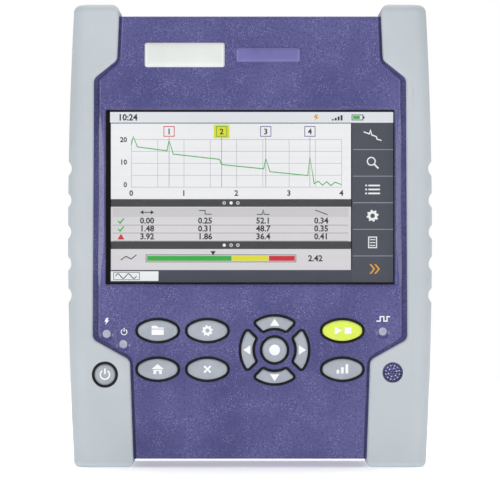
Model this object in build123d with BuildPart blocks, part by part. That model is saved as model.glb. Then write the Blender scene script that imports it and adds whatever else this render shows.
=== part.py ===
from build123d import *
from math import atan2, cos, degrees, radians, sin
import os

os.makedirs("parts", exist_ok=True)

# Handheld optical time domain reflectometer, standing upright as it is used.
# X is the width, Y the depth (the screen looks towards -Y) and Z the height in mm.
# Depths are given as f, the distance in front of the middle plane, so f = -Y.

# Screen stack, from the front
window_width = 109.3
window_height = 66.1
window_corner = 0.6
window_round = 1.0        # rolled edge round the window
window_lip = 2.2          # front wall left in front of the gasket
gasket_thickness = 0.5
gasket_show = 0.4         # gasket seen inside the window
glass_border = 4.4        # glass behind the front wall, on each side
glass_clearance = 0.3
glass_thickness = 1.6
lcd_thickness = 4.5
lcd_inset = 1.0
bracket_thickness = 1.0
bracket_inset = 3.0
bracket_hole_width = 60.0
bracket_hole_height = 30.0
bracket_post_inset = 8.0  # posts inside the glass's ends
bracket_post_gap = 0.8    # glass pocket to the posts
standoff_height = 4.6
board_thickness = 1.6
connector_room = 17.0     # from the main board back to the parting plane

# Housing
wall = 2.5
front_wall = 3.4
side_room = 1.15          # between the glass pocket and the side wall
housing_corner = 8.0
panel_step = 1.2          # raised panel above the ledge under the rubber
panel_round = 0.9
groove = 0.8              # between the rubber and the raised panel
waist_ledge = 1.0         # added to the groove beside the screen
keypad_rise = 41.2        # housing bottom to the middle of the keypad
screen_rise = 24.75       # middle of the keypad to the window
brow = 35.25              # window to the top of the housing
scoop_length = 78.0       # scooped flanks beside the screen
scoop_width = 2.5
scoop_slope = 23.0
scoop_lead = 10.0         # cutter beyond the panel
seal_width = 1.0
seal_depth = 0.8
seal_clearance = 0.05

# Rubber bumpers
bumper_side = 6.0
bumper_proud = 1.5        # rubber in front of the raised panel
bumper_bulge = 2.4        # middle of the side beyond its ends
bumper_roll = 7.0
bumper_lip_round = 1.0
horn_height = 4.5
horn_round = 3.0
foot_height = 3.2
foot_round = 2.2
horn_overlap = 13.9       # rubber over the housing, at six heights
upper_pad_overlap = 12.8
waist_top_overlap = 4.05
waist_low_overlap = 3.55
lower_pad_overlap = 17.6
foot_overlap = 19.2
upper_pad_drop = 16.5     # housing top to the upper shoulder
upper_slope = 7.0
lower_pad_height = 40.6
lower_slope = 7.9
shoulder_round = 3.0
rim_overrun = 5.0         # rim drawn past both ends of the part
scallop_count = 5
scallop_pitch = 12.0
scallop_radius = 3.4
scallop_depth = 1.35
scallop_lift = 1.5        # scallops above the middle of the side

# Keys
key_width = 14.9
key_height = 7.7
key_end = 2.4             # radius of the oval's ends
key_proud = 0.6
key_edge = 0.5
key_travel = 0.8
key_gap = 0.12            # key to its rubber collar
collar = 0.9
collar_gap = 0.06         # collar to the housing
collar_drop = 0.6         # collar top below the housing face
outer_column = 34.9
inner_column = 16.1
row_half = 7.3
pad_x = 9.3
enter_radius = 4.55
arrow_inner = 8.45
arrow_outer = 12.55
arrow_strut = 2.1        # half the bar between two arrow keys
arrow_corner = 0.6
power_radius = 3.9
power_from_wall = 5.7
power_drop = 9.3          # below the middle of the keypad
power_sink = 0.3          # power key below the rubber
lug_length = 1.0
lug_width = 2.6
lug_thickness = 0.9
nub_size = 3.0
nub_height = 0.4
mat_thickness = 1.0
mat_clearance = 0.1
switch_size = 4.5
switch_height = 0.6
switch_clearance = 0.1
keypad_board_thickness = 1.2
keypad_half_height = 15.0
mat_reach = 46.6          # right end of the mat
keypad_edge = 0.4         # mat and board to the side wall
keys_to_rubber = 3.0      # outer keys to the rubber beside them
arm_half = 4.5            # keypad board round the test lamp, up and down
arm_reach = 5.8           # and to the right
keypad_post_x = 44.0
keypad_post_z = 13.2
keypad_post_radius = 1.8

# Lamps and loudspeaker
lamp_radius = 1.5
lamp_dish = 2.8
lamp_dish_floor = 2.0
lamp_dish_depth = 0.35
lamp_sink = 0.25
lamp_flange = 2.3
lamp_flange_thickness = 0.7
lamp_clearance = 0.05
chip_size = 1.6
chip_height = 0.8
charge_lamp = (-54.2, 6.1)
on_lamp = (-47.9, 2.2)
test_lamp = (50.2, 7.0)
speaker_radius = 6.2
speaker_thickness = 3.5
speaker_from_wall = 6.6
speaker_drop = 8.5
grille_radius = 3.9
grille_hole = 0.3
grille_pitch = 1.05
grille_rings = 3

# Plates above the screen
name_width = 30.2
name_height = 9.2
name_x = -24.7
model_width = 24.3
model_height = 5.3
model_x = 6.9
plate_drop = 14.6         # below the top of the housing
plate_corner = 0.9
plate_thickness = 0.8
plate_recess = 0.3
plate_edge = 0.3
plate_clearance = 0.05

# Screws
case_screw_x = 38.6
case_screw_edge = 8.5
case_screw_radius = 1.45
case_screw_grip = 12.0    # thread length in the front column
case_head_radius = 2.7
case_head_height = 2.4
case_head_sunk = 15.0
case_post_radius = 4.2
column_radius = 3.2
small_screw_radius = 0.8
small_head_radius = 1.7
small_head_height = 1.2
small_screw_grip = 2.6
screw_clearance = 0.06
screw_tip = 0.6           # blind hole beyond the screw
head_clearance = 0.3
socket_share = 0.6        # hexagon socket as a share of the head height

# Main board, connectors and optics
board_side_gap = 4.5      # main board to the side wall
board_clearance = 0.6
board_bottom_drop = 12.0  # board bottom below the window
shield_width = 40.0
shield_height = 46.0
shield_thickness = 3.0
standoff_radius = 2.2
usb_x = -16.0
usb_width = 13.2
usb_height = 5.8
usb_length = 14.0
usb_wall = 0.35
usb_tongue = 1.8
usb_tongue_gap = 1.0
usb_floor = 2.0
lan_x = 2.0
lan_width = 16.0
lan_height = 13.4
lan_length = 21.0
lan_wall = 1.8
lan_mouth_width = 11.8
lan_mouth_height = 7.0
lan_mouth_depth = 12.0
lan_latch_width = 6.4
lan_latch_height = 2.6
dc_x = -29.0
dc_width = 9.0
dc_height = 11.0
dc_length = 14.0
dc_bore = 2.9
dc_bore_depth = 9.5
dc_pin = 1.0
socket_clearance = 0.2
port_x = 23.5
port_back = 6.5           # port axis behind the main board
adapter_width = 12.6
adapter_height = 9.2
adapter_length = 22.0
adapter_cavity_width = 9.0
adapter_cavity_height = 7.4
adapter_cavity_depth = 11.0
adapter_flange = 21.0
adapter_flange_thickness = 2.0
tube_radius = 2.4
tube_drop = 1.5
sleeve_outer = 1.6
sleeve_inner = 1.25
sleeve_length = 10.6
sleeve_drop = 0.4
sleeve_clearance = 0.05
ferrule_radius = 1.5      # holder below the sleeve
boot_radius = 2.6
module_width = 40.0
module_height = 42.0
module_thickness = 12.0
module_gap = 7.5          # optical module to the adapter
contact_width = 20.0
contact_height = 6.0
contact_clearance = 0.3

# Port frame in the top wall, with the port cover
pocket_width = 22.0
pocket_depth = 3.0
pocket_floor = 2.0
pocket_wall = 2.0
frame_lip = 1.5           # port frame under the front edge of its notch
pocket_front = 6.5        # port axis to the pocket edges
pocket_back = 8.5
cover_clearance = 0.3
nail_radius = 4.0
nail_depth = 1.2
cover_axis_drop = 1.5
cover_barrel = 1.25
cover_thickness = 2.4
cover_pin = 0.6
cover_pin_grip = 1.5
pin_seat = 0.02           # pin to the bore that it is pressed in
pin_clearance = 0.05

# Battery bay and door
battery_width = 64.0
battery_height = 56.0
battery_thickness = 14.6
battery_clearance = 0.3
battery_corner = 2.0
bay_rise = 12.5           # housing bottom to the bay
bay_gap = 2.0             # parting plane to the bay floor
bay_floor = 1.5
bay_wall = 2.6
door_lip = 2.0
door_shelf = 9.0
door_shelf_thickness = 3.0
door_gap = 0.25
door_corner = 3.0
door_thickness = 2.6
door_seat = 1.0           # door left under the screw heads
door_screw_x = 22.0
door_screw_radius = 1.2
door_head_radius = 2.2
door_head_height = 1.3
door_screw_grip = 4.0
door_boss_radius = 3.2
door_boss_length = 5.0

# Tilt stand on the back
stand_width = 64.0
stand_length = 56.0
stand_thickness = 4.0
stand_drop = 20.0         # hinge below the top of the housing
stand_sink = 0.2
stand_clearance = 0.4
stand_floor = 2.0
stand_wall = 3.0
stand_barrel = 2.1
stand_pin = 1.0
stand_pin_length = 5.0
stand_pin_grip = 2.2
stand_rib = 2.2
stand_corner = 4.0
stand_skin = 2.0
finger_radius = 9.0
finger_depth = 2.2

# Sizes that follow
housing_depth = (window_lip + gasket_thickness + glass_thickness + lcd_thickness + bracket_thickness
                 + standoff_height + board_thickness + connector_room + bay_gap + bay_floor
                 + battery_thickness + battery_clearance + door_thickness)
overall_depth = housing_depth + 2 * bumper_proud
screen_half = window_width / 2 + glass_border + glass_clearance + side_room
keypad_half = outer_column + key_width / 2 + keys_to_rubber + lower_pad_overlap - wall
inner_half = max(screen_half, keypad_half)
housing_half = inner_half + wall
overall_half = housing_half + bumper_side
housing_bottom = foot_height
keypad_z = housing_bottom + keypad_rise
window_bottom = keypad_z + screen_rise
window_top = window_bottom + window_height
window_z = (window_bottom + window_top) / 2
housing_top = window_top + brow
housing_z = (housing_bottom + housing_top) / 2
housing_height = housing_top - housing_bottom
overall_height = housing_top + horn_height
middle_z = overall_height / 2

bumper_f = overall_depth / 2
panel_f = housing_depth / 2
ledge_f = panel_f - panel_step
inner_f = panel_f - front_wall
pocket_f = panel_f - window_lip
glass_f = pocket_f - gasket_thickness
lcd_f = glass_f - glass_thickness
bracket_f = lcd_f - lcd_thickness
bracket_back_f = bracket_f - bracket_thickness
board_f = bracket_back_f - standoff_height
board_back_f = board_f - board_thickness
parting_f = board_back_f - connector_room
bay_floor_f = parting_f - bay_gap
battery_f = bay_floor_f - bay_floor
door_f = battery_f - battery_thickness - battery_clearance
rear_f = -panel_f
rear_inner_f = rear_f + front_wall

mat_back_f = inner_f - mat_thickness
lug_f = mat_back_f - mat_clearance
lug_back_f = lug_f - lug_thickness
nub_f = lug_back_f - nub_height
switch_f = nub_f - key_travel - switch_clearance
keypad_board_f = switch_f - switch_height
keypad_back_f = keypad_board_f - keypad_board_thickness

power_x = -(inner_half - power_from_wall)
power_z = keypad_z - power_drop
mat_left = -(inner_half - keypad_edge)
keypad_arm = test_lamp[0] + arm_reach
speaker_x = inner_half - speaker_from_wall
speaker_z = keypad_z - speaker_drop
plate_z = housing_top - plate_drop
ring = key_gap + collar + collar_gap

glass_width = window_width + 2 * glass_border
glass_height = window_height + 2 * glass_border
bracket_post_x = glass_width / 2 - bracket_post_inset
bracket_post_z = glass_border + glass_clearance + keypad_post_radius + bracket_post_gap
bracket_posts = [(sx * bracket_post_x, window_z + sz * (window_height / 2 + bracket_post_z))
                 for sx in (-1, 1) for sz in (-1, 1)]
keypad_posts = [(sx * keypad_post_x, keypad_z + sz * keypad_post_z) for sx in (-1, 1) for sz in (-1, 1)]
case_posts = [(sx * case_screw_x, z) for sx in (-1, 1)
              for z in (housing_bottom + case_screw_edge, housing_top - case_screw_edge)]
lamps = [(x, keypad_z + z) for x, z in (charge_lamp, on_lamp, test_lamp)]

pocket_z = housing_top - pocket_depth
port_f = board_back_f - port_back
board_half = inner_half - board_side_gap
board_top = pocket_z - pocket_floor - board_clearance
board_bottom = window_bottom - board_bottom_drop
adapter_bottom = pocket_z - adapter_length
sleeve_top = pocket_z - tube_drop - sleeve_drop
sleeve_bottom = sleeve_top - sleeve_length
module_top = adapter_bottom - module_gap
cover_axis_f = port_f - pocket_back + cover_clearance + cover_barrel
cover_axis_z = housing_top - cover_axis_drop
pocket_length = pocket_front + pocket_back
pocket_y = -port_f + (pocket_back - pocket_front) / 2
frame_width = pocket_width + 2 * pocket_wall
frame_front_y = pocket_y - pocket_length / 2 - pocket_wall
frame_length = -parting_f - frame_front_y
frame_y = frame_front_y + frame_length / 2
slope = radians(scoop_slope)
waist_overlap = (waist_top_overlap + waist_low_overlap) / 2
scoop_x = housing_half - waist_overlap - groove - waist_ledge - scoop_width
scoop_radius = (scoop_length / 2) ** 2 / (2 * scoop_width * sin(slope))
seal_corner = housing_corner - wall / 2
bulge_radius = (middle_z ** 2 + bumper_bulge ** 2) / (2 * bumper_bulge)
scallop_heights = [middle_z + scallop_lift + (i - (scallop_count - 1) / 2) * scallop_pitch
                   for i in range(scallop_count)]
scallops = [(-(overall_half - (z - middle_z) ** 2 / (2 * bulge_radius) + scallop_radius - scallop_depth), z)
            for z in scallop_heights]
plates = ((name_x, name_width, name_height), (model_x, model_width, model_height))
sockets = ((usb_x, usb_width, usb_height), (lan_x, lan_width, lan_height), (dc_x, dc_width, dc_height))

bay_half = battery_width / 2 + battery_clearance
bay_bottom = housing_bottom + bay_rise
bay_top = bay_bottom + battery_height + 2 * battery_clearance
door_bottom = bay_bottom - door_lip
door_top = bay_top + door_shelf
door_screws_at = [(sx * door_screw_x, bay_top + door_shelf / 2) for sx in (-1, 1)]
contact_z = bay_top - contact_height - 2 * contact_clearance
lan_mouth_y = -board_back_f + lan_wall + lan_mouth_height / 2

stand_z = housing_top - stand_drop
stand_axis_f = rear_f + stand_sink + stand_barrel
stand_floor_f = stand_axis_f + stand_barrel + stand_clearance
stand_recess_half = stand_width / 2 + stand_clearance
stand_recess_top = stand_z + stand_barrel + stand_clearance
stand_recess_bottom = stand_z - stand_length - stand_clearance
stand_cell = (stand_width - 4 * stand_rib) / 3
cover_reach = port_f + pocket_front - cover_clearance - cover_axis_f


def front(f):
    """Sketch plane at depth f, looking from the front: x to the right, y up."""
    return Plane.XZ.offset(f)


def finish(piece, name):
    piece.part.label = name
    export_step(piece.part, f"parts/{name}.step")


def opening(ledge=0):
    """The face between the two bumpers, narrower by the ledge at the waist, in the active sketch."""
    edge = [
        (-(housing_half - horn_overlap), overall_height + rim_overrun),
        (-(housing_half - upper_pad_overlap), housing_top - upper_pad_drop),
        (-(housing_half - waist_top_overlap - ledge), housing_top - upper_pad_drop - upper_slope),
        (-(housing_half - waist_low_overlap - ledge), lower_pad_height + lower_slope),
        (-(housing_half - lower_pad_overlap), lower_pad_height),
        (-(housing_half - foot_overlap), -rim_overrun),
    ]
    with BuildLine() as rim:
        left = FilletPolyline(*edge, radius=shoulder_round)
        right = mirror(left, about=Plane.YZ)
        Line(left @ 0, right @ 0)
        Line(left @ 1, right @ 1)
    make_face(rim.edges())


def raised_panel():
    """The raised panel of a cover, in the active sketch."""
    opening(waist_ledge)
    offset(amount=-groove, kind=Kind.INTERSECTION, mode=Mode.REPLACE)
    with Locations((0, housing_z)):
        Rectangle(4 * housing_half, housing_height, mode=Mode.INTERSECT)


def housing_block(inset, corner, mode=Mode.ADD):
    """The housing outline, smaller by the inset on each side."""
    with Locations((0, housing_z)):
        RectangleRounded(2 * (housing_half - inset), housing_height - 2 * inset, corner, mode=mode)


def nail_notch():
    """A shallow round notch in front of the port cover, to lift it with a nail."""
    with BuildSketch(Plane.XY.offset(housing_top)) as notch:
        with Locations((port_x, pocket_y - pocket_length / 2)):
            Circle(nail_radius)
    extrude(notch.sketch, amount=-nail_depth, mode=Mode.SUBTRACT)


def arrow_outline(grow, turn):
    """One arrow key, a quarter of a ring between two diagonal bars."""
    reach = arrow_outer + grow
    with BuildSketch(mode=Mode.PRIVATE) as quarter:
        Circle(reach)
        Circle(arrow_inner - grow, mode=Mode.SUBTRACT)
        shift = 2 ** 0.5 * (arrow_strut - grow)
        Polygon((shift, 0), (shift + 2 * reach, 2 * reach), (shift + 2 * reach, -2 * reach),
                align=None, mode=Mode.INTERSECT)
        fillet(quarter.vertices(), arrow_corner + grow)
    add(quarter.sketch, rotation=turn)


def oval_outline(grow):
    """One oval key: two long arcs that meet in two small end arcs."""
    half_width = key_width / 2 + grow
    half_height = key_height / 2 + grow
    end = key_end + grow
    long = ((half_width - end) ** 2 + half_height ** 2 - end ** 2) / (2 * (half_height - end))
    with BuildSketch(mode=Mode.PRIVATE) as lens:
        with Locations((0, half_height - long)):
            Circle(long)
        with Locations((0, long - half_height)):
            Circle(long, mode=Mode.INTERSECT)
        fillet(lens.vertices(), end)
    add(lens.sketch)


def key_outline(shape, grow):
    if shape == "oval":
        oval_outline(grow)
    elif shape == "enter":
        Circle(enter_radius + grow)
    elif shape == "power":
        Circle(power_radius + grow)
    else:
        arrow_outline(grow, shape)


def key_lugs(shape):
    """Half length of a key, the place of its switch along that length, and its turn."""
    if shape == "oval":
        return key_width / 2, 0, 0
    if shape == "enter":
        return enter_radius, 0, 0
    if shape == "power":
        return power_radius, 0, 0
    return (arrow_outer - arrow_inner) / 2, (arrow_inner + arrow_outer) / 2, shape


# Key name, shape (or turn of the arrow key), place, and the face that it stands in
upper_row = keypad_z + row_half
lower_row = keypad_z - row_half
keys = [
    ("file_key", "oval", -outer_column, upper_row, panel_f),
    ("setup_key", "oval", -inner_column, upper_row, panel_f),
    ("home_key", "oval", -outer_column, lower_row, panel_f),
    ("cancel_key", "oval", -inner_column, lower_row, panel_f),
    ("start_stop_key", "oval", outer_column, upper_row, panel_f),
    ("results_key", "oval", outer_column, lower_row, panel_f),
    ("right_key", 0, pad_x, keypad_z, panel_f),
    ("up_key", 90, pad_x, keypad_z, panel_f),
    ("left_key", 180, pad_x, keypad_z, panel_f),
    ("down_key", 270, pad_x, keypad_z, panel_f),
    ("enter_key", "enter", pad_x, keypad_z, panel_f),
    ("power_key", "power", power_x, power_z, bumper_f),
]

# Front cover: moulded shell with the raised panel, the window and the key openings
with BuildPart() as front_cover:
    with BuildSketch(front(parting_f)):
        housing_block(0, housing_corner)
    extrude(amount=ledge_f - parting_f)
    with BuildSketch(front(ledge_f)):
        raised_panel()
    extrude(amount=panel_step)
    fillet(front_cover.edges().filter_by_position(Axis.Y, -panel_f - 0.01, -panel_f + 0.01), panel_round)
    with BuildSketch(front(ledge_f)):
        with Locations((speaker_x, speaker_z)):
            Circle(grille_radius - collar_gap)
    extrude(amount=panel_step)
    with BuildSketch(front(parting_f)):
        housing_block(wall, housing_corner - wall)
    extrude(amount=inner_f - parting_f, mode=Mode.SUBTRACT)
    # columns for the case screws, posts for the bracket and for the keypad board
    for places, f, radius, bore, depth in (
        (case_posts, parting_f, column_radius, case_screw_radius, case_screw_grip),
        (bracket_posts, bracket_f, keypad_post_radius, small_screw_radius, small_screw_grip),
        (keypad_posts, keypad_board_f, keypad_post_radius, small_screw_radius, small_screw_grip),
    ):
        with BuildSketch(front(f)):
            with Locations(*places):
                Circle(radius)
        extrude(amount=inner_f - f)
        with BuildSketch(front(f)):
            with Locations(*places):
                Circle(bore + screw_clearance)
        extrude(amount=depth + screw_tip, mode=Mode.SUBTRACT)
    # window with a rolled edge, and the pocket behind it for gasket and glass
    with BuildSketch(front(inner_f)):
        with Locations((0, window_z)):
            RectangleRounded(window_width, window_height, window_corner)
    extrude(amount=front_wall, mode=Mode.SUBTRACT)
    rim = front_cover.edges().filter_by_position(Axis.Y, -panel_f - 0.01, -panel_f + 0.01)
    rim = rim.filter_by_position(Axis.Z, window_bottom - 0.01, window_top + 0.01)
    rim = rim.filter_by_position(Axis.X, -window_width / 2 - 0.01, window_width / 2 + 0.01)
    fillet(rim, window_round)
    with BuildSketch(front(inner_f)):
        with Locations((0, window_z)):
            Rectangle(glass_width + 2 * glass_clearance, glass_height + 2 * glass_clearance)
    extrude(amount=pocket_f - inner_f, mode=Mode.SUBTRACT)
    # scooped flanks beside the screen, each cut by one very large cylinder
    for side in (-1, 1):
        start = (side * (scoop_x - scoop_lead * cos(slope)), -panel_f - scoop_lead * sin(slope), window_z)
        along = Plane(origin=start, x_dir=(0, 0, 1), z_dir=(side * cos(slope), sin(slope), 0))
        with BuildSketch(along):
            with Locations((0, side * scoop_radius)):
                Circle(scoop_radius)
        extrude(amount=scoop_lead + panel_step / sin(slope), mode=Mode.SUBTRACT)
    # key openings, lamp holes with their dishes, grille holes, seats of the two plates
    with BuildSketch(front(inner_f)):
        for name, shape, x, z, face in keys:
            with Locations((x, z)):
                key_outline(shape, ring)
        with Locations(*lamps):
            Circle(lamp_radius + lamp_clearance)
        with Locations((speaker_x, speaker_z)):
            RegularPolygon(grille_hole, 6)
            for i in range(1, grille_rings + 1):
                with PolarLocations(i * grille_pitch, 6 * i):
                    RegularPolygon(grille_hole, 6)
    extrude(amount=front_wall, mode=Mode.SUBTRACT)
    with BuildSketch(front(panel_f)):
        with Locations(*lamps):
            Circle(lamp_dish)
    dish_taper = degrees(atan2(lamp_dish - lamp_dish_floor, lamp_dish_depth))
    extrude(amount=-lamp_dish_depth, taper=dish_taper, mode=Mode.SUBTRACT)
    with BuildSketch(front(panel_f)):
        for x, width, height in plates:
            with Locations((x, plate_z)):
                RectangleRounded(width + 2 * plate_clearance, height + 2 * plate_clearance, plate_corner)
    extrude(amount=-plate_recess, mode=Mode.SUBTRACT)
    # openings in the top wall: sockets, and the notch of the port frame with a place for a nail
    with BuildSketch(Plane.XY.offset(housing_top)):
        for x, width, height in sockets:
            with Locations((x, -board_back_f + height / 2)):
                Rectangle(width + 2 * socket_clearance, height + 2 * socket_clearance)
        with Locations((port_x, frame_y)):
            Rectangle(frame_width, frame_length)
    extrude(amount=-wall, mode=Mode.SUBTRACT)
    nail_notch()
finish(front_cover, "front_cover")

# Port frame: moulded insert in the notch of the top wall, with a pocket for the port cover
with BuildPart() as port_frame:
    with BuildSketch(Plane.XY.offset(pocket_z - pocket_floor)):
        with Locations((port_x, frame_y)):
            Rectangle(frame_width, frame_length)
    extrude(amount=pocket_floor + pocket_depth)
    with BuildSketch(Plane.XY.offset(pocket_z - pocket_floor)):
        with Locations((port_x, frame_y - frame_length / 2)):
            Rectangle(frame_width, 2 * frame_lip)
    extrude(amount=pocket_floor + pocket_depth - wall)
    with BuildSketch(Plane.XY.offset(pocket_z)):
        with Locations((port_x, pocket_y)):
            Rectangle(pocket_width, pocket_length)
    extrude(amount=pocket_depth, mode=Mode.SUBTRACT)
    nail_notch()
    with BuildSketch(Plane.XY.offset(pocket_z - pocket_floor)):
        with Locations((port_x, -port_f)):
            Rectangle(adapter_width + 2 * socket_clearance, adapter_height + 2 * socket_clearance)
    extrude(amount=pocket_floor, mode=Mode.SUBTRACT)
    with BuildSketch(Plane.YZ.offset(port_x)):
        with Locations((-cover_axis_f, cover_axis_z)):
            Circle(cover_pin + pin_seat)
    extrude(amount=pocket_width / 2 + cover_pin_grip, both=True, mode=Mode.SUBTRACT)
finish(port_frame, "port_frame")

# Rear cover: moulded shell with the battery bay, the stand recess and the screw posts
with BuildPart() as rear_cover:
    with BuildSketch(front(-ledge_f)):
        housing_block(0, housing_corner)
    extrude(amount=parting_f + ledge_f)
    with BuildSketch(front(-ledge_f)):
        raised_panel()
    extrude(amount=-panel_step)
    chamfer(rear_cover.edges().filter_by_position(Axis.Y, panel_f - 0.01, panel_f + 0.01), panel_round)
    with BuildSketch(front(rear_inner_f)):
        housing_block(wall, housing_corner - wall)
    extrude(amount=parting_f - rear_inner_f, mode=Mode.SUBTRACT)
    # battery bay block and door shelf
    with BuildSketch(front(rear_inner_f)):
        with Locations((0, (bay_bottom + bay_top) / 2)):
            Rectangle(2 * (bay_half + bay_wall), bay_top - bay_bottom + 2 * bay_wall)
    extrude(amount=bay_floor_f - rear_inner_f)
    with BuildSketch(front(rear_inner_f)):
        with Locations((0, (bay_top + door_top + bay_wall) / 2)):
            Rectangle(2 * (bay_half + bay_wall), door_top - bay_top + bay_wall)
    extrude(amount=door_f + door_shelf_thickness - rear_inner_f)
    with BuildSketch(front(rear_inner_f)):
        with Locations(*door_screws_at):
            Circle(door_boss_radius)
    extrude(amount=door_f + door_boss_length - rear_inner_f)
    # stand block and screw posts
    with BuildSketch(front(rear_inner_f)):
        with Locations((0, (stand_recess_top + stand_recess_bottom) / 2)):
            Rectangle(2 * (stand_recess_half + stand_wall),
                      stand_recess_top - stand_recess_bottom + 2 * stand_floor)
    extrude(amount=stand_floor_f + stand_floor - rear_inner_f)
    with BuildSketch(front(rear_inner_f)):
        with Locations(*case_posts):
            Circle(case_post_radius)
    extrude(amount=parting_f - rear_inner_f)
    # hollows, cut from the back
    with BuildSketch(front(rear_f)):
        with Locations((0, (bay_bottom + bay_top) / 2)):
            Rectangle(2 * bay_half, bay_top - bay_bottom)
    extrude(amount=battery_f - rear_f, mode=Mode.SUBTRACT)
    with BuildSketch(front(rear_f)):
        with Locations((0, (door_bottom + door_top) / 2)):
            RectangleRounded(2 * (bay_half + door_lip), door_top - door_bottom, door_corner)
    extrude(amount=door_thickness, mode=Mode.SUBTRACT)
    with BuildSketch(front(bay_floor_f)):
        with Locations((0, contact_z)):
            Rectangle(contact_width + 2 * contact_clearance, contact_height + 2 * contact_clearance)
    extrude(amount=-bay_floor, mode=Mode.SUBTRACT)
    with BuildSketch(front(door_f)):
        with Locations(*door_screws_at):
            Circle(door_screw_radius + screw_clearance)
    extrude(amount=door_screw_grip, mode=Mode.SUBTRACT)
    with BuildSketch(front(rear_f)):
        with Locations((0, (stand_recess_top + stand_recess_bottom) / 2)):
            Rectangle(2 * stand_recess_half, stand_recess_top - stand_recess_bottom)
    extrude(amount=stand_floor_f - rear_f, mode=Mode.SUBTRACT)
    with BuildSketch(front(rear_f)):
        with Locations((0, stand_recess_bottom)):
            Circle(finger_radius)
    extrude(amount=finger_depth, mode=Mode.SUBTRACT)
    with BuildSketch(Plane.YZ):
        with Locations((-stand_axis_f, stand_z)):
            Circle(stand_pin + pin_seat)
    extrude(amount=stand_recess_half + stand_pin_grip, both=True, mode=Mode.SUBTRACT)
    with BuildSketch(front(rear_f)):
        with Locations(*case_posts):
            Circle(case_head_radius + head_clearance)
    extrude(amount=case_head_sunk, mode=Mode.SUBTRACT)
    with BuildSketch(front(rear_f)):
        with Locations(*case_posts):
            Circle(case_screw_radius + screw_clearance)
    extrude(amount=parting_f - rear_f, mode=Mode.SUBTRACT)
    # groove for the seal
    with BuildSketch(front(parting_f)):
        housing_block(wall / 2 - seal_width / 2 - seal_clearance, seal_corner)
        housing_block(wall / 2 + seal_width / 2 + seal_clearance, seal_corner, Mode.SUBTRACT)
    extrude(amount=-seal_depth, mode=Mode.SUBTRACT)
finish(rear_cover, "rear_cover")

# Seal: rubber cord pressed between the two covers
with BuildPart() as housing_seal:
    with BuildSketch(front(parting_f)):
        housing_block(wall / 2 - seal_width / 2, seal_corner)
        housing_block(wall / 2 + seal_width / 2, seal_corner, Mode.SUBTRACT)
    extrude(amount=-seal_depth)
finish(housing_seal, "housing_seal")

# Bumpers: soft rubber mouldings that wrap both long sides of the housing
with BuildPart() as left_bumper:
    with BuildSketch(front(-bumper_f)):
        with BuildLine():
            side_arc = ThreePointArc((-(overall_half - bumper_bulge), 0), (-overall_half, middle_z),
                                     (-(overall_half - bumper_bulge), overall_height))
            Polyline(side_arc @ 1, (0, overall_height), (0, 0), side_arc @ 0)
        make_face()
    extrude(amount=overall_depth)
    fillet(left_bumper.edges().filter_by(GeomType.CIRCLE), bumper_roll)
    with BuildSketch(front(-bumper_f)):
        opening()
    extrude(amount=overall_depth, mode=Mode.SUBTRACT)
    for y in (-bumper_f, bumper_f):
        lip = left_bumper.edges().filter_by_position(Axis.Y, y - 0.01, y + 0.01)
        lip = lip.filter_by(lambda e: 0.01 < e.center().Z < overall_height - 0.01)
        lip = lip.filter_by(lambda e: e.geom_type == GeomType.LINE or e.radius < 10 * shoulder_round)
        fillet(lip, bumper_lip_round)
    fillet(left_bumper.faces().sort_by(Axis.Z)[-1].edges(), horn_round)
    fillet(left_bumper.faces().sort_by(Axis.Z)[0].edges(), foot_round)
    with BuildSketch(front(-ledge_f)):
        housing_block(0, housing_corner)
    extrude(amount=2 * ledge_f, mode=Mode.SUBTRACT)
    # finger scallops along the side
    with BuildSketch(front(-bumper_f)):
        with Locations(*scallops):
            Circle(scallop_radius)
    extrude(amount=overall_depth, mode=Mode.SUBTRACT)
with BuildPart() as right_bumper:
    mirror(left_bumper.part, about=Plane.YZ)
    with BuildSketch(front(ledge_f)):
        with Locations((speaker_x, speaker_z)):
            Circle(grille_radius)
    extrude(amount=bumper_f - ledge_f, mode=Mode.SUBTRACT)
finish(right_bumper, "right_bumper")
with BuildPart() as left_bumper_pierced:
    add(left_bumper.part)
    with BuildSketch(front(ledge_f)):
        with Locations((power_x, power_z)):
            key_outline("power", ring)
    extrude(amount=bumper_f - ledge_f, mode=Mode.SUBTRACT)
finish(left_bumper_pierced, "left_bumper")

# Plates: thin bare plates glued in shallow seats above the screen
for name, (x, width, height) in zip(("name_plate", "model_plate"), plates):
    with BuildPart() as plate:
        with BuildSketch(front(panel_f - plate_recess)):
            with Locations((x, plate_z)):
                RectangleRounded(width, height, plate_corner)
        extrude(amount=plate_thickness)
        chamfer(plate.faces().sort_by(Axis.Y)[0].edges(), plate_edge)
    finish(plate, name)

# Screen stack: gasket, touch glass, display panel and the steel bracket that holds them
with BuildPart() as screen_gasket:
    with BuildSketch(front(glass_f)):
        with Locations((0, window_z)):
            Rectangle(glass_width, glass_height)
            Rectangle(window_width - 2 * gasket_show, window_height - 2 * gasket_show, mode=Mode.SUBTRACT)
    extrude(amount=gasket_thickness)
finish(screen_gasket, "screen_gasket")
with BuildPart() as touch_glass:
    with BuildSketch(front(lcd_f)):
        with Locations((0, window_z)):
            Rectangle(glass_width, glass_height)
    extrude(amount=glass_thickness)
finish(touch_glass, "touch_glass")
with BuildPart() as lcd_panel:
    with BuildSketch(front(bracket_f)):
        with Locations((0, window_z)):
            Rectangle(glass_width - 2 * lcd_inset, glass_height - 2 * lcd_inset)
    extrude(amount=lcd_thickness)
finish(lcd_panel, "lcd_panel")
with BuildPart() as display_bracket:
    with BuildSketch(front(bracket_back_f)):
        with Locations((0, window_z)):
            Rectangle(glass_width - 2 * bracket_inset, window_height + 2 * bracket_post_z + 2 * keypad_post_radius)
            Rectangle(bracket_hole_width, bracket_hole_height, mode=Mode.SUBTRACT)
        with Locations(*bracket_posts):
            Circle(small_screw_radius + screw_clearance, mode=Mode.SUBTRACT)
    extrude(amount=bracket_thickness)
finish(display_bracket, "display_bracket")

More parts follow.
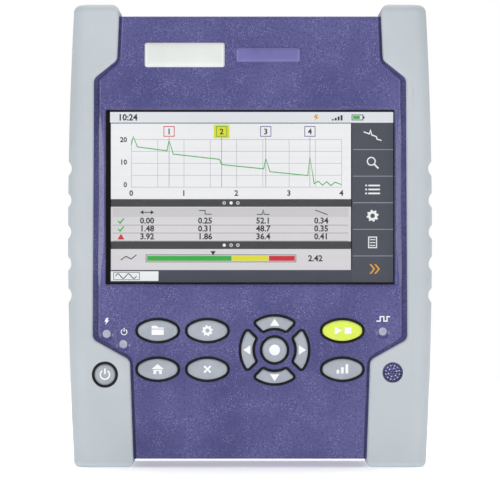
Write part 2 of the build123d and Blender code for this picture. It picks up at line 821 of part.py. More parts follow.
# Keypad: silicone mat with a collar round every key
with BuildPart() as keypad_mat:
    with BuildSketch(front(mat_back_f)):
        with Locations(((mat_reach + mat_left) / 2, keypad_z)):
            Rectangle(mat_reach - mat_left, 2 * keypad_half_height)
    extrude(amount=mat_thickness)
    with BuildSketch(front(inner_f)):
        for name, shape, x, z, face in keys[:-1]:
            with Locations((x, z)):
                key_outline(shape, key_gap + collar)
    extrude(amount=panel_f - collar_drop - inner_f)
    with BuildSketch(front(inner_f)):
        with Locations((power_x, power_z)):
            key_outline("power", key_gap + collar)
    extrude(amount=bumper_f - collar_drop - inner_f)
    with BuildSketch(front(mat_back_f)):
        for name, shape, x, z, face in keys:
            with Locations((x, z)):
                key_outline(shape, key_gap)
        with Locations(*keypad_posts):
            Circle(keypad_post_radius + head_clearance)
        with Locations(*lamps):
            Circle(lamp_flange + head_clearance)
    extrude(amount=bumper_f - mat_back_f, mode=Mode.SUBTRACT)
finish(keypad_mat, "keypad_mat")

# Keys: moulded caps with two lugs under the mat and a nub over the switch
for name, shape, x, z, face in keys:
    half, shift, turn = key_lugs(shape)
    top = face - power_sink if shape == "power" else face + key_proud
    with BuildPart() as key:
        with BuildSketch(front(lug_back_f)):
            with Locations((x, z)):
                key_outline(shape, 0)
        extrude(amount=top - lug_back_f)
        chamfer(key.faces().sort_by(Axis.Y)[0].edges(), key_edge)
        with BuildSketch(front(lug_back_f)):
            with Locations(Location((x, z), turn)):
                with Locations((shift, 0)):
                    Rectangle(2 * (half + lug_length), lug_width)
        extrude(amount=lug_thickness)
        with BuildSketch(front(nub_f)):
            with Locations(Location((x, z), turn)):
                with Locations((shift, 0)):
                    Rectangle(nub_size, nub_size)
        extrude(amount=nub_height)
    finish(key, name)

# Keypad board with its switches, lamp chips and screws
with BuildPart() as keypad_board:
    with BuildSketch(front(keypad_back_f)):
        with Locations(((keypad_arm + mat_left) / 2, keypad_z)):
            Rectangle(keypad_arm - mat_left, 2 * keypad_half_height)
        with Locations((mat_reach, keypad_z + test_lamp[1] - arm_half)):
            Rectangle(keypad_arm, 4 * keypad_half_height, align=(Align.MIN, Align.MAX), mode=Mode.SUBTRACT)
        with Locations(*keypad_posts):
            Circle(small_screw_radius + screw_clearance, mode=Mode.SUBTRACT)
    extrude(amount=keypad_board_thickness)
finish(keypad_board, "keypad_board")
with BuildPart() as key_switches:
    with BuildSketch(front(keypad_board_f)):
        for name, shape, x, z, face in keys:
            half, shift, turn = key_lugs(shape)
            with Locations(Location((x, z), turn)):
                with Locations((shift, 0)):
                    Rectangle(switch_size, switch_size)
    extrude(amount=switch_height)
finish(key_switches, "key_switches")
with BuildPart() as led_chips:
    with BuildSketch(front(keypad_board_f)):
        with Locations(*lamps):
            Rectangle(chip_size, chip_size)
    extrude(amount=chip_height)
finish(led_chips, "led_chips")
with BuildPart() as led_light_pipes:
    for radius, f0, f1 in (
        (lamp_radius, inner_f, panel_f - lamp_sink),
        (lamp_flange, inner_f - lamp_flange_thickness, inner_f),
    ):
        with BuildSketch(front(f0)):
            with Locations(*lamps):
                Circle(radius)
        extrude(amount=f1 - f0)
finish(led_light_pipes, "led_light_pipes")
with BuildPart() as speaker:
    with BuildSketch(front(inner_f - speaker_thickness)):
        with Locations((speaker_x, speaker_z)):
            Circle(speaker_radius)
    extrude(amount=speaker_thickness)
finish(speaker, "speaker")

# Main board on four standoffs behind the bracket, with shielding cans on its back
with BuildPart() as board_standoffs:
    with BuildSketch(front(board_f)):
        with Locations(*bracket_posts):
            RegularPolygon(standoff_radius, 6)
            Circle(small_screw_radius + screw_clearance, mode=Mode.SUBTRACT)
    extrude(amount=standoff_height)
finish(board_standoffs, "board_standoffs")
with BuildPart() as main_board:
    with BuildSketch(front(board_back_f)):
        with Locations((0, (board_bottom + board_top) / 2)):
            Rectangle(2 * board_half, board_top - board_bottom)
        with Locations(*case_posts):
            Circle(column_radius + board_clearance, mode=Mode.SUBTRACT)
        with Locations(*bracket_posts):
            Circle(small_screw_radius + screw_clearance, mode=Mode.SUBTRACT)
    extrude(amount=board_thickness)
    with BuildSketch(front(board_back_f)):
        with Locations((-board_half / 2, window_z)):
            Rectangle(shield_width, shield_height)
    extrude(amount=-shield_thickness)
finish(main_board, "main_board")

# Screws, one node for each kind
screw_groups = (
    ("keypad_screws", keypad_posts, keypad_back_f, small_screw_radius, small_head_radius, small_head_height,
     keypad_board_thickness + small_screw_grip),
    ("board_screws", bracket_posts, board_back_f, small_screw_radius, small_head_radius, small_head_height,
     bracket_f - board_back_f + small_screw_grip),
    ("case_screws", case_posts, rear_f + case_head_sunk, case_screw_radius, case_head_radius,
     case_head_height, parting_f + case_screw_grip - rear_f - case_head_sunk),
    ("door_screws", door_screws_at, door_f - door_seat, door_screw_radius, door_head_radius,
     door_head_height, door_seat + door_screw_grip - screw_tip),
)
for name, places, seat_f, radius, head_radius, head_height, length in screw_groups:
    outside = name in ("case_screws", "door_screws")
    with BuildPart() as screws:
        with BuildSketch(front(seat_f)):
            with Locations(*places):
                if outside:
                    Circle(head_radius)
                else:
                    RegularPolygon(head_radius, 6)
        extrude(amount=-head_height)
        with BuildSketch(front(seat_f)):
            with Locations(*places):
                Circle(radius)
        extrude(amount=length)
        if outside:
            with BuildSketch(front(seat_f - head_height)):
                with Locations(*places):
                    RegularPolygon(radius, 6)
            extrude(amount=head_height * socket_share, mode=Mode.SUBTRACT)
    finish(screws, name)

# Sockets on the main board: data, network and power
with BuildPart() as usb_socket:
    with BuildSketch(Plane.XY.offset(housing_top)):
        with Locations((usb_x, -board_back_f + usb_height / 2)):
            Rectangle(usb_width, usb_height)
    extrude(amount=-usb_length)
    with BuildSketch(Plane.XY.offset(housing_top)):
        with Locations((usb_x, -board_back_f + usb_height / 2)):
            Rectangle(usb_width - 2 * usb_wall, usb_height - 2 * usb_wall)
        with Locations((usb_x, -board_back_f + usb_wall + usb_tongue)):
            Rectangle(usb_width - 2 * usb_tongue_gap, usb_tongue, mode=Mode.SUBTRACT)
    extrude(amount=-usb_length + usb_floor, mode=Mode.SUBTRACT)
finish(usb_socket, "usb_socket")
with BuildPart() as lan_socket:
    with BuildSketch(Plane.XY.offset(housing_top)):
        with Locations((lan_x, -board_back_f + lan_height / 2)):
            Rectangle(lan_width, lan_height)
    extrude(amount=-lan_length)
    with BuildSketch(Plane.XY.offset(housing_top)):
        with Locations((lan_x, lan_mouth_y)):
            Rectangle(lan_mouth_width, lan_mouth_height)
        with Locations((lan_x, lan_mouth_y + (lan_mouth_height + lan_latch_height) / 2)):
            Rectangle(lan_latch_width, lan_latch_height)
    extrude(amount=-lan_mouth_depth, mode=Mode.SUBTRACT)
finish(lan_socket, "lan_socket")
with BuildPart() as dc_jack:
    with BuildSketch(Plane.XY.offset(housing_top)):
        with Locations((dc_x, -board_back_f + dc_height / 2)):
            Rectangle(dc_width, dc_height)
    extrude(amount=-dc_length)
    with BuildSketch(Plane.XY.offset(housing_top)):
        with Locations((dc_x, -board_back_f + dc_height / 2)):
            Circle(dc_bore)
    extrude(amount=-dc_bore_depth, mode=Mode.SUBTRACT)
    with BuildSketch(Plane.XY.offset(housing_top - dc_bore_depth)):
        with Locations((dc_x, -board_back_f + dc_height / 2)):
            Circle(dc_pin)
    extrude(amount=dc_bore_depth - dc_pin)
finish(dc_jack, "dc_jack")

# Optical port: adapter, split sleeve, pigtail with its ferrule, and the optical module
with BuildPart() as sc_adapter:
    with BuildSketch(Plane.XY.offset(pocket_z)):
        with Locations((port_x, -port_f)):
            Rectangle(adapter_width, adapter_height)
    extrude(amount=-adapter_length)
    with BuildSketch(Plane.XY.offset(pocket_z - pocket_floor)):
        with Locations((port_x, -port_f)):
            Rectangle(adapter_flange, adapter_height)
    extrude(amount=-adapter_flange_thickness)
    with BuildSketch(Plane.XY.offset(pocket_z)):
        with Locations((port_x, -port_f)):
            Rectangle(adapter_cavity_width, adapter_cavity_height)
    extrude(amount=-adapter_cavity_depth, mode=Mode.SUBTRACT)
    with BuildSketch(Plane.XY.offset(pocket_z - adapter_cavity_depth)):
        with Locations((port_x, -port_f)):
            Circle(tube_radius)
    extrude(amount=adapter_cavity_depth - tube_drop)
    with BuildSketch(Plane.XY.offset(pocket_z)):
        with Locations((port_x, -port_f)):
            Circle(sleeve_outer + sleeve_clearance)
    extrude(amount=-adapter_length, mode=Mode.SUBTRACT)
finish(sc_adapter, "sc_adapter")
with BuildPart() as ferrule_sleeve:
    with BuildSketch(Plane.XY.offset(sleeve_bottom)):
        with Locations((port_x, -port_f)):
            Circle(sleeve_outer)
            Circle(sleeve_inner, mode=Mode.SUBTRACT)
    extrude(amount=sleeve_length)
finish(ferrule_sleeve, "ferrule_sleeve")
with BuildPart() as fibre_pigtail:
    with BuildSketch(Plane.XY.offset(module_top)):
        with Locations((port_x, -port_f)):
            Circle(boot_radius)
    extrude(amount=module_gap)
    with BuildSketch(Plane.XY.offset(adapter_bottom)):
        with Locations((port_x, -port_f)):
            Circle(ferrule_radius)
    extrude(amount=sleeve_bottom - adapter_bottom)
finish(fibre_pigtail, "fibre_pigtail")
with BuildPart() as optical_module:
    with BuildSketch(front(board_back_f)):
        with Locations((port_x, module_top - module_height / 2)):
            Rectangle(module_width, module_height)
    extrude(amount=-module_thickness)
finish(optical_module, "optical_module")

# Battery: contact block on the main board, pack in the bay, door over it
with BuildPart() as battery_contacts:
    with BuildSketch(front(battery_f)):
        with Locations((0, contact_z)):
            Rectangle(contact_width, contact_height)
    extrude(amount=board_back_f - battery_f)
finish(battery_contacts, "battery_contacts")
with BuildPart() as battery_pack:
    with BuildSketch(front(battery_f)):
        with Locations((0, (bay_bottom + bay_top) / 2)):
            RectangleRounded(battery_width, battery_height, battery_corner)
    extrude(amount=-battery_thickness)
finish(battery_pack, "battery_pack")
with BuildPart() as battery_door:
    with BuildSketch(front(rear_f)):
        with Locations((0, (door_bottom + door_top) / 2)):
            RectangleRounded(2 * (bay_half + door_lip - door_gap), door_top - door_bottom - 2 * door_gap,
                             door_corner - door_gap)
    extrude(amount=door_thickness)
    with BuildSketch(front(rear_f)):
        with Locations(*door_screws_at):
            Circle(door_head_radius + head_clearance)
    extrude(amount=door_thickness - door_seat, mode=Mode.SUBTRACT)
    with BuildSketch(front(rear_f)):
        with Locations(*door_screws_at):
            Circle(door_screw_radius + screw_clearance)
    extrude(amount=door_thickness, mode=Mode.SUBTRACT)
finish(battery_door, "battery_door")

# Tilt stand: moulded leg with a barrel along its top edge, on two short steel pins
with BuildPart() as stand:
    with BuildSketch(front(stand_axis_f - stand_barrel)):
        with Locations((0, stand_z - stand_length / 2)):
            Rectangle(stand_width, stand_length)
    extrude(amount=stand_thickness)
    with BuildSketch(Plane.YZ):
        with Locations((-stand_axis_f, stand_z)):
            Circle(stand_barrel)
    extrude(amount=stand_width / 2, both=True)
    feet = stand.edges().filter_by(Axis.Y).filter_by_position(Axis.Z, stand_z - stand_length - 0.01,
                                                              stand_z - stand_length + 0.01)
    fillet(feet, stand_corner)
    # three pockets on the hidden side, with ribs between them
    with BuildSketch(front(stand_axis_f - stand_barrel + stand_skin)):
        with Locations((0, stand_z - (stand_length + stand_barrel) / 2)):
            with GridLocations(stand_cell + stand_rib, 1, 3, 1):
                Rectangle(stand_cell, stand_length - stand_barrel - 2 * stand_corner)
    extrude(amount=stand_thickness, mode=Mode.SUBTRACT)
    for side in (-1, 1):
        with BuildSketch(Plane.YZ.offset(side * stand_width / 2)):
            with Locations((-stand_axis_f, stand_z)):
                Circle(stand_pin + pin_clearance)
        extrude(amount=-side * stand_pin_length, mode=Mode.SUBTRACT)
finish(stand, "stand")
with BuildPart() as stand_pins:
    for side in (-1, 1):
        with BuildSketch(Plane.YZ.offset(side * (stand_recess_half + stand_pin_grip))):
            with Locations((-stand_axis_f, stand_z)):
                Circle(stand_pin)
        extrude(amount=-side * stand_pin_length)
finish(stand_pins, "stand_pins")

# Port cover: small flap in the top wall, on one pin along its rear edge
with BuildPart() as port_cover:
    with BuildSketch(Plane.YZ.offset(port_x)):
        with Locations((-cover_axis_f, cover_axis_z)):
            Circle(cover_barrel)
        with Locations((-cover_axis_f, cover_axis_z + cover_barrel)):
            Rectangle(cover_reach, cover_thickness, align=(Align.MAX, Align.MAX))
        with Locations((-cover_axis_f, cover_axis_z)):
            Circle(cover_pin + pin_clearance, mode=Mode.SUBTRACT)
    extrude(amount=pocket_width / 2 - cover_clearance, both=True)
finish(port_cover, "port_cover")
with BuildPart() as port_cover_pin:
    with BuildSketch(Plane.YZ.offset(port_x)):
        with Locations((-cover_axis_f, cover_axis_z)):
            Circle(cover_pin)
    extrude(amount=pocket_width / 2 + cover_pin_grip, both=True)
finish(port_cover_pin, "port_cover_pin")
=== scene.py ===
import bpy
import bmesh
from math import cos, pi, radians, sin
from mathutils import Matrix, Vector


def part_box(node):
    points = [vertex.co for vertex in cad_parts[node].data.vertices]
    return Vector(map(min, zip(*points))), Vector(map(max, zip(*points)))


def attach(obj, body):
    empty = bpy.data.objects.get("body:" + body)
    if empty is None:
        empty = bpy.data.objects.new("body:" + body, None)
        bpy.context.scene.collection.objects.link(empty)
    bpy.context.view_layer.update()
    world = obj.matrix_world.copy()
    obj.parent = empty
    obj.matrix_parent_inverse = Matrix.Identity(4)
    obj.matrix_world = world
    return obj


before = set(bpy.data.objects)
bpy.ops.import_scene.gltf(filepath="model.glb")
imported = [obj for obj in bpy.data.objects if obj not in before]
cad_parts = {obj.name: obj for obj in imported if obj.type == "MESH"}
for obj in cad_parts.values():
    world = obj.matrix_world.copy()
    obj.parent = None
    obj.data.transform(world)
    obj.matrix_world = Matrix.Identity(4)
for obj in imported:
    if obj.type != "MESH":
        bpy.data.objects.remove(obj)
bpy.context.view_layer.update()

# Housing: two shells, the battery door, the stand and the port flap, all injection moulded in
# one violet ABS. Pearl flake is mixed into the granulate and the tool is spark eroded, so the
# skin is satin with fine bright specks and soft clouds where the melt flowed.


def linear(code):
    """A colour from its sRGB hex code, as shaders take it."""
    tones = [int(code[i:i + 2], 16) / 255 for i in (0, 2, 4)]
    return [t / 12.92 if t <= 0.04045 else ((t + 0.055) / 1.055) ** 2.4 for t in tones] + [1.0]


def node(tree, kind, settings, inputs):
    """Adds one shader node. An input, by name or number, is a plain value or the socket that feeds it."""
    made = tree.nodes.new("ShaderNode" + kind)
    for name, value in settings.items():
        setattr(made, name, value)
    for name, value in inputs.items():
        if isinstance(value, bpy.types.NodeSocket):
            tree.links.new(value, made.inputs[name])
        else:
            made.inputs[name].default_value = value
    return made


def per_metre(size_mm):
    """Pattern scale that gives features of about this size."""
    return 1000 / size_mm


def two_tone(name, low, high, patch_mm, grain_mm, grain_depth_mm, values):
    """A material that drifts between two colours in soft patches, with a fine grain in its skin.
    Gives back the material, its tree, its shader and the socket that carries the colour."""
    made = bpy.data.materials.new(name)
    made.use_nodes = True
    tree = made.node_tree
    shader = tree.nodes["Principled BSDF"]
    for socket, value in values.items():
        shader.inputs[socket].default_value = value
    where = node(tree, "TexCoord", {}, {}).outputs["Object"]
    patches = node(tree, "TexNoise", {}, {"Vector": where, "Scale": per_metre(patch_mm), "Detail": 3.0})
    spread = node(tree, "MapRange", {}, {0: patches.outputs[0], 1: 0.35, 2: 0.65})
    tone = node(tree, "Mix", {"data_type": "RGBA"}, {0: spread.outputs[0], 6: linear(low), 7: linear(high)})
    tree.links.new(tone.outputs[2], shader.inputs["Base Color"])
    grain = node(tree, "TexNoise", {}, {"Vector": where, "Scale": per_metre(grain_mm), "Detail": 2.0})
    skin = node(tree, "Bump", {}, {"Height": grain.outputs[0], "Strength": 0.5,
                                   "Distance": grain_depth_mm / 1000})
    tree.links.new(skin.outputs[0], shader.inputs["Normal"])
    base = values["Roughness"]
    sheen = node(tree, "MapRange", {}, {0: grain.outputs[0], 1: 0.3, 2: 0.7, 3: base - 0.05, 4: base + 0.05})
    tree.links.new(sheen.outputs[0], shader.inputs["Roughness"])
    return made, tree, shader, tone.outputs[2]


def dress(finish, *names):
    """Gives a finish to CAD nodes."""
    for name in names:
        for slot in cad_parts[name].material_slots:
            slot.material = finish


pearl_abs, tree, shader, violet = two_tone(
    "spark_eroded_pearl_abs", "48477f", "5a5990", 30, 0.5, 0.03,
    {"Roughness": 0.46, "IOR": 1.53, "Specular IOR Level": 0.4})
# flakes are 0.05 mm in the real plastic and are drawn as 0.3 mm specks, so that they show; fine
# pits of the eroded tool lie between them, drawn as coarse for the same reason as a darker mottle: painted
# shade
flake_pitch_mm = 0.46
mottle_mm = 0.9
cloud_mm = 7
where = node(tree, "TexCoord", {}, {})
place = where.outputs["Object"]
cells = node(tree, "TexVoronoi", {}, {"Vector": place, "Scale": per_metre(flake_pitch_mm)})
dot = node(tree, "MapRange", {}, {0: cells.outputs["Distance"], 1: 0.42, 2: 0.2})
lot = node(tree, "SeparateColor", {}, {0: cells.outputs["Color"]})
chosen = node(tree, "MapRange", {}, {0: lot.outputs[0], 1: 0.25, 2: 1.0})
cloud = node(tree, "TexNoise", {}, {"Vector": place, "Scale": per_metre(cloud_mm), "Detail": 2.0})
drift = node(tree, "MapRange", {}, {0: cloud.outputs[0], 1: 0.35, 2: 0.65, 3: 0.1, 4: 1.5})
flake = node(tree, "Math", {"operation": "MULTIPLY"}, {0: dot.outputs[0], 1: chosen.outputs[0]})
flake = node(tree, "Math", {"operation": "MULTIPLY"}, {0: flake.outputs[0], 1: drift.outputs[0]})
# the tool is polished on the sloping flanks beside the screen and in the lamps' dishes, which are
# the faces that lean back by the flank's slope
flank_slope = radians(23.0)
slope_band = 0.035
polished_roughness = 0.2
polished_grain, eroded_grain = 0.05, 0.5
facing = node(tree, "SeparateXYZ", {}, {0: where.outputs["Normal"]})
polish = node(tree, "Math", {"operation": "COMPARE"},
              {0: facing.outputs["Y"], 1: -cos(flank_slope), 2: slope_band})
matt = node(tree, "Math", {"operation": "SUBTRACT"}, {0: 1.0, 1: polish.outputs[0]})
flake = node(tree, "Math", {"operation": "MULTIPLY"}, {0: flake.outputs[0], 1: matt.outputs[0]})
# painted shade: a darker mottle mixed into the violet stands in for the shade in the tool's pits
pit_shade_noise = node(tree, "TexNoise", {}, {"Vector": place, "Scale": per_metre(mottle_mm), "Detail": 1.0})
pit_shade = node(tree, "MapRange", {}, {0: pit_shade_noise.outputs[0], 1: 0.5, 2: 0.68, 3: 0.0, 4: 0.6})
pit_shaded = node(tree, "Mix", {"data_type": "RGBA"}, {0: pit_shade.outputs[0], 6: violet, 7: linear("38376c")})
flecked = node(tree, "Mix", {"data_type": "RGBA"},
               {0: flake.outputs[0], 6: pit_shaded.outputs[2], 7: linear("9897c7")})
tree.links.new(flecked.outputs[2], shader.inputs["Base Color"])
satin = shader.inputs["Roughness"].links[0].from_socket
gloss = node(tree, "Mix", {}, {0: polish.outputs[0], 2: satin, 3: polished_roughness})
tree.links.new(gloss.outputs[0], shader.inputs["Roughness"])
grain = shader.inputs["Normal"].links[0].from_node
depth = node(tree, "MapRange", {}, {0: matt.outputs[0], 3: polished_grain, 4: eroded_grain})
tree.links.new(depth.outputs[0], grain.inputs["Strength"])
dress(pearl_abs, "front_cover", "rear_cover", "battery_door", "stand", "port_cover", "port_frame")

# Bumpers: two soft mouldings of pale grey thermoplastic rubber, stretched over both long sides.
# The tool is finely blasted, so the rubber is matt and only its rolled edges catch some light.
soft_rubber = two_tone("blasted_tpe_rubber", "bcc4c9", "c1c9ce", 30, 0.4, 0.02,
                       {"Roughness": 0.62, "IOR": 1.5})[0]
dress(soft_rubber, "left_bumper", "right_bumper")

# Seal, screen gasket and keypad mat: black silicone, pressed in a polished tool. It is matt black
# and shows as a thin ring round every key and as a dark line inside the window.
silicone = two_tone("pressed_black_silicone", "0d0e10", "191a1d", 8, 0.4, 0.02,
                    {"Roughness": 0.7, "IOR": 1.43})[0]
dress(silicone, "housing_seal", "screen_gasket", "keypad_mat")

# Plates: two thin bare plates glued into shallow seats above the screen. Both are moulded in
# glossy ABS, one in pearl white and one in a lighter violet than the housing, and have a crowned
# face that is a little higher in the middle than along its edges.
pearl_plate = two_tone("polished_pearl_abs", "e1e5e2", "e8ebe8", 14, 0.5, 0.008,
                       {"Roughness": 0.32, "IOR": 1.53, "Coat Weight": 0.3})[0]
violet_plate = two_tone("polished_violet_abs", "6a67a4", "7270ad", 7, 0.5, 0.008,
                        {"Roughness": 0.35, "IOR": 1.53, "Coat Weight": 0.2})[0]
dress(pearl_plate, "name_plate")
dress(violet_plate, "model_plate")
plate_corner, plate_bevel = 0.9, 0.3
tightest_corner = 0.3
corner_points = 7
crown_reach, crown_rise = 0.5, 0.11      # shares of half the plate's height
crown_steps = ((0.0, -0.04), (0.02, 0.18), (0.1, 0.45), (0.3, 0.74), (0.65, 0.93), (1.0, 1.0))


def round_points(radius, count, x=0.0, z=0.0, start=0.0, stop=360.0):
    """Points on a circle or, with start and stop in degrees, along an arc."""
    whole = stop - start == 360.0
    steps = count if whole else count - 1
    turns = [radians(start + (stop - start) * i / steps) for i in range(count)]
    return [(x + radius * cos(t), z + radius * sin(t)) for t in turns]


def rounded_box(width, height, radius):
    """Outline of a rectangle with round corners, about its centre."""
    outline = []
    for turn, (a, b) in enumerate(((1, 1), (-1, 1), (-1, -1), (1, -1))):
        x, z = a * (width / 2 - radius), b * (height / 2 - radius)
        outline += round_points(radius, corner_points, x, z, 90.0 * turn, 90.0 * turn + 90.0)
    return outline


def stitch(mesh, rings, smooth):
    """Joins rings of points, one to the next, and closes both ends. The foot stays flat."""
    for lower, upper in zip(rings, rings[1:]):
        for i in range(len(lower)):
            mesh.faces.new((lower[i - 1], lower[i], upper[i], upper[i - 1])).smooth = smooth
    mesh.faces.new(rings[0])
    mesh.faces.new(rings[-1]).smooth = smooth


def fit(mesh, name, finish, body):
    """Turns a mesh into a piece with a finish that rides on a body."""
    bmesh.ops.recalc_face_normals(mesh, faces=mesh.faces)
    data = bpy.data.meshes.new(name)
    mesh.to_mesh(data)
    mesh.free()
    data.materials.append(finish)
    piece = bpy.data.objects.new(name, data)
    bpy.context.scene.collection.objects.link(piece)
    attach(piece, body)


def middle_of(name):
    """Middle of a CAD node's box, and its lowest and highest corner, in mm."""
    low, high = (corner * 1000 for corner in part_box(name))
    return (low + high) / 2, low, high


def crown(plate, finish):
    """A pillow-shaped face on a plate: rings of outlines that step inwards and rise."""
    centre, low, high = middle_of(plate)
    width, height = high.x - low.x, high.z - low.z
    mesh = bmesh.new()
    rings = []
    for share, lift in crown_steps:
        inset, rise = plate_bevel + share * crown_reach * height / 2, lift * crown_rise * height / 2
        corner = max(plate_corner - inset, tightest_corner)
        outline = rounded_box(width - 2 * inset, height - 2 * inset, corner)
        rings.append([mesh.verts.new(((centre.x + a) / 1000, (low.y - rise) / 1000, (centre.z + b) / 1000))
                      for a, b in outline])
    stitch(mesh, rings, smooth=True)
    fit(mesh, plate + "_crown", finish, "housing")


crown("name_plate", pearl_plate)
crown("model_plate", violet_plate)

# Touch glass and display panel: a clear sheet bonded to a liquid crystal panel with a black rim.
# The glass is float glass, ground flat, and stays clear and glossy.
glass = bpy.data.materials.new("clear_float_glass")
glass.use_nodes = True
tree = glass.node_tree
shader = tree.nodes["Principled BSDF"]
shader.inputs["Base Color"].default_value = linear("fbfcfd")
shader.inputs["Transmission Weight"].default_value = 1.0
shader.inputs["IOR"].default_value = 1.5
where = node(tree, "TexCoord", {}, {}).outputs["Object"]
smears = node(tree, "TexNoise", {}, {"Vector": where, "Scale": per_metre(18), "Detail": 4.0})
haze = node(tree, "MapRange", {}, {0: smears.outputs[0], 1: 0.4, 2: 0.7, 3: 0.0, 4: 0.04})
tree.links.new(haze.outputs[0], shader.inputs["Roughness"])
dress(glass, "touch_glass")
panel_black = two_tone("black_masked_panel", "070809", "0e0f12", 12, 0.4, 0.005,
                       {"Roughness": 0.5, "IOR": 1.5})[0]
dress(panel_black, "lcd_panel")

# Picture on the display: lit cells of the panel, drawn as thin films in front of it. The picture
# is a plain measuring screen: a grid with a falling trace, rows of numbers and plain signs.
display_y = -22.70            # front of the panel, in mm; the films are laminated under the glass
picture_left = -53.0
picture_right = 54.25
picture_top = 134.45
picture_bottom = 69.95
picture_width = picture_right - picture_left
picture_height = picture_top - picture_bottom
film_step = 0.02              # one film above the next, in mm
shortest_mitre = 0.45         # keeps the tips of sharp peaks short
figure_height = 0.72          # of a figure, as a share of the type size
figure_weight = 0.04          # added to its strokes, as a share of its height
side_menu = 15.6
status_height = 4.05
task_height = 4.65
band_height = 2.9


class Ink:
    """One film of one colour: outlines in mm are collected in one mesh."""

    def __init__(self, back_y, front_y):
        self.back_y = back_y
        self.front_y = front_y
        self.mesh = bmesh.new()

    def loop(self, outline, y):
        """The points of an outline at depth y."""
        return [self.mesh.verts.new((x / 1000, y / 1000, z / 1000)) for x, z in outline]

    def shape(self, outline):
        """A closed thin prism from one outline."""
        low, high = self.loop(outline, self.back_y), self.loop(outline, self.front_y)
        self.mesh.faces.new(low)
        self.mesh.faces.new(high)
        for i in range(len(low)):
            self.mesh.faces.new((low[i - 1], low[i], high[i], high[i - 1]))

    def band(self, outer, inner):
        """A closed ring between two outlines with the same number of points."""
        rims = [self.loop(line, y) for line in (outer, inner) for y in (self.back_y, self.front_y)]
        for i in range(len(outer)):
            for a, b in ((0, 1), (2, 3), (0, 2), (1, 3)):
                self.mesh.faces.new((rims[a][i - 1], rims[a][i], rims[b][i], rims[b][i - 1]))

    def box(self, x, z, width, height):
        """A rectangle by its top left corner."""
        self.shape([(x, z), (x + width, z), (x + width, z - height), (x, z - height)])

    def frame(self, x, z, width, height, line):
        """An open rectangle by its top left corner."""
        self.band([(x, z), (x + width, z), (x + width, z - height), (x, z - height)],
                  [(x + line, z - line), (x + width - line, z - line),
                   (x + width - line, z - height + line), (x + line, z - height + line)])

    def stroke(self, points, line):
        """A line of even width through some points, with mitred corners."""
        points = [Vector(point) for point in points]
        steps = [(b - a).normalized() for a, b in zip(points, points[1:])]
        left, right = [], []
        for i, point in enumerate(points):
            before, after = steps[max(i - 1, 0)], steps[min(i, len(steps) - 1)]
            side = Vector((-before.y - after.y, before.x + after.x)).normalized()
            mitre = max(shortest_mitre, side.dot(Vector((-after.y, after.x))))
            left.append(tuple(point + side * line / 2 / mitre))
            right.append(tuple(point - side * line / 2 / mitre))
        self.shape(left + right[::-1])

    def digits(self, text, x, z, height, align="LEFT"):
        """Plain figures with their foot on z."""
        curve = bpy.data.curves.new("figures", "FONT")
        curve.body = text
        curve.size = height / 1000 / figure_height
        curve.align_x = align
        curve.resolution_u = 2
        curve.extrude = (self.back_y - self.front_y) / 2000
        curve.offset = height / 1000 * figure_weight
        maker = bpy.data.objects.new("figures", curve)
        outline = bpy.data.meshes.new_from_object(maker)
        middle = (self.back_y + self.front_y) / 2000
        upright = Matrix.Rotation(pi / 2, 4, "X")
        outline.transform(Matrix.Translation((x / 1000, middle, z / 1000)) @ upright)
        self.mesh.from_mesh(outline)
        bpy.data.objects.remove(maker)
        bpy.data.curves.remove(curve)
        bpy.data.meshes.remove(outline)


def moved(outline, x, z):
    """The same outline about another centre."""
    return [(x + a, z + b) for a, b in outline]


def lit_cells(name, colour, glow):
    """Backlit liquid crystal cells: they shine in their own colour, a little uneven, like the
    backlight. The 0.14 mm pixel rows are drawn 0.6 mm apart and faint, so that they show."""
    made = bpy.data.materials.new(name)
    made.use_nodes = True
    tree = made.node_tree
    shader = tree.nodes["Principled BSDF"]
    shader.inputs["Base Color"].default_value = (0.01, 0.01, 0.01, 1.0)
    shader.inputs["Roughness"].default_value = 0.5
    where = node(tree, "TexCoord", {}, {}).outputs["Object"]
    drift = node(tree, "TexNoise", {}, {"Vector": where, "Scale": per_metre(45), "Detail": 1.0})
    rows = node(tree, "TexWave", {"bands_direction": "Z"}, {"Vector": where, "Scale": per_metre(0.6) / 20})
    mixed = node(tree, "Math", {"operation": "MULTIPLY_ADD"},
                 {0: rows.outputs[1], 1: 0.15, 2: drift.outputs[0]})
    level = node(tree, "MapRange", {}, {0: mixed.outputs[0], 1: 0.3, 2: 0.9, 3: 0.93, 4: 1.0})
    tone = node(tree, "Mix", {"data_type": "RGBA", "blend_type": "MULTIPLY"},
                {0: 1.0, 6: linear(colour), 7: level.outputs[0]})
    tree.links.new(tone.outputs[2], shader.inputs["Emission Color"])
    shader.inputs["Emission Strength"].default_value = glow
    return made


def film(level):
    """An empty film on the display, some levels above the panel."""
    return Ink(display_y, display_y - level * film_step)


def at(u, v):
    """Place on the display from its top left corner, in mm."""
    return picture_left + u, picture_top - v


margin = 0.3
main_width = picture_width - side_menu
page_width = main_width - 0.7
task_top = picture_height - task_height
graph_top = status_height + margin
graph_bottom = 33.0
table_top = graph_bottom + band_height
table_bottom = 49.0
gauge_top = table_bottom + band_height
# ground areas
paper, status, table, bands, menu, task = film(1), film(1), film(1), film(1), film(1), film(1)
status.box(*at(0, 0), picture_width, status_height)
paper.box(*at(margin, graph_top), page_width, graph_bottom - graph_top)
bands.box(*at(margin, graph_bottom), page_width, band_height)
table.box(*at(margin, table_top), page_width, table_bottom - table_top)
bands.box(*at(margin, table_bottom), page_width, band_height)
table.box(*at(margin, gauge_top), page_width, task_top - gauge_top)
task.box(*at(0, task_top), main_width, task_height)
menu.box(*at(main_width, status_height), side_menu, picture_height - status_height)
